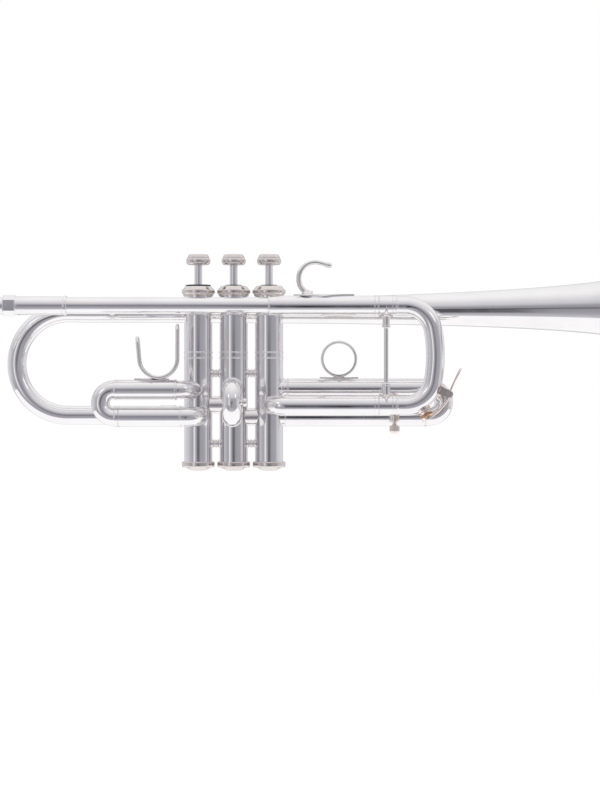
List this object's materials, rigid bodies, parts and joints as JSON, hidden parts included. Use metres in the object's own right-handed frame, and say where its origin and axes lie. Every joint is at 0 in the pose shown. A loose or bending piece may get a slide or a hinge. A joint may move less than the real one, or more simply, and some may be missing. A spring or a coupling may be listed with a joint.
{
  "type": "trumpet",
  "caption": "Silver-plated C trumpet with piston valves, tuning slides on each loop, a flared one-piece bell and a mouthpiece.",
  "frame": {"origin": "on the second valve's axis, at half the height of the valve block, where the left hand holds the trumpet", "axes": "+X towards the bell, +Z towards the finger buttons, +Y towards the bell's side of the valve block, so the leadpipe side is -Y"},
  "size_m": [0.5677, 0.1348, 0.1764],
  "materials": {
    "silver_plate": "polished",
    "valve_metal": "satin",
    "spring_steel": "satin",
    "pearl": "gloss",
    "felt": "matte",
    "cork": "matte"
  },
  "bodies": {
    "body": {"receiver": "silver_plate", "leadpipe": "silver_plate", "main_sleeve_upper": "silver_plate", "main_sleeve_lower": "silver_plate", "pinky_hook": "silver_plate", "bell": "silver_plate", "bell_elbow": "silver_plate", "bell_braces": "silver_plate", "casing_1": "silver_plate", "casing_2": "silver_plate", "casing_3": "silver_plate", "valve_braces": "silver_plate", "valve_knuckles": "silver_plate", "top_cap_1": "silver_plate", "top_cap_2": "silver_plate", "top_cap_3": "silver_plate", "bottom_cap_1": "silver_plate", "bottom_cap_2": "silver_plate", "bottom_cap_3": "silver_plate", "cap_felts": "felt", "valve_guides": "valve_metal", "first_fixed_tubes": "silver_plate", "second_sleeves": "silver_plate", "third_fixed_tubes": "silver_plate", "lyre_holder": "silver_plate"},
    "mouthpiece": {"mouthpiece": "silver_plate"},
    "main_slide": {"main_legs": "silver_plate", "main_bow": "silver_plate", "main_ferrules": "silver_plate", "main_brace": "silver_plate", "water_key_seat": "silver_plate", "water_key_screw": "silver_plate", "water_key_spring": "spring_steel"},
    "water_key": {"water_key_lever": "silver_plate", "water_key_cork": "cork"},
    "first_slide": {"first_moving_tubes": "silver_plate", "first_crook": "silver_plate", "thumb_saddle": "silver_plate"},
    "second_slide": {"second_legs": "silver_plate", "second_crook": "silver_plate", "second_knob": "silver_plate"},
    "third_slide": {"third_moving_tubes": "silver_plate", "third_crook": "silver_plate", "finger_ring": "silver_plate"},
    "lyre_screw": {"lyre_screw": "silver_plate"},
    "valve_1": {"piston_1": "valve_metal", "spring_1": "spring_steel", "stem_1": "silver_plate", "button_1": "silver_plate", "pearl_1": "pearl"},
    "valve_2": {"piston_2": "valve_metal", "spring_2": "spring_steel", "stem_2": "silver_plate", "button_2": "silver_plate", "pearl_2": "pearl"},
    "valve_3": {"piston_3": "valve_metal", "spring_3": "spring_steel", "stem_3": "silver_plate", "button_3": "silver_plate", "pearl_3": "pearl"}
  },
  "joints": [
    {"name": "valve_1_press", "type": "slide", "parent": "body", "child": "valve_1", "axis": [0, 0, -1], "range_m": [0, 0.014], "stiffness_N_per_m": 120, "springref_m": -0.012, "deforming": ["spring_1"]},
    {"name": "valve_2_press", "type": "slide", "parent": "body", "child": "valve_2", "axis": [0, 0, -1], "range_m": [0, 0.014], "stiffness_N_per_m": 120, "springref_m": -0.012, "deforming": ["spring_2"]},
    {"name": "valve_3_press", "type": "slide", "parent": "body", "child": "valve_3", "axis": [0, 0, -1], "range_m": [0, 0.014], "stiffness_N_per_m": 120, "springref_m": -0.012, "deforming": ["spring_3"]},
    {"name": "main_slide_pull", "type": "slide", "parent": "body", "child": "main_slide", "axis": [1, 0, 0], "range_m": [0, 0.045]},
    {"name": "first_slide_pull", "type": "slide", "parent": "body", "child": "first_slide", "axis": [-1, 0, 0], "range_m": [0, 0.02]},
    {"name": "second_slide_pull", "type": "slide", "parent": "body", "child": "second_slide", "axis": [0, -1, 0], "range_m": [0, 0.014]},
    {"name": "third_slide_pull", "type": "slide", "parent": "body", "child": "third_slide", "axis": [1, 0, 0], "range_m": [0, 0.025]},
    {"name": "mouthpiece_pull", "type": "slide", "parent": "body", "child": "mouthpiece", "axis": [-1, 0, 0], "range_m": [0, 0.03]},
    {"name": "water_key_open", "type": "hinge", "parent": "main_slide", "child": "water_key", "pos_m": [0.14913, -0.0185, -0.0117], "axis": [0, -1, 0], "range_deg": [0, 20], "stiffness_Nm_per_rad": 0.02, "springref_deg": -28.65},
    {"name": "lyre_screw_turn", "type": "hinge", "parent": "body", "child": "lyre_screw", "pos_m": [0.1122, -0.0095, -0.036], "axis": [0, 0, -1], "range_deg": [0, 720]}
  ]
}
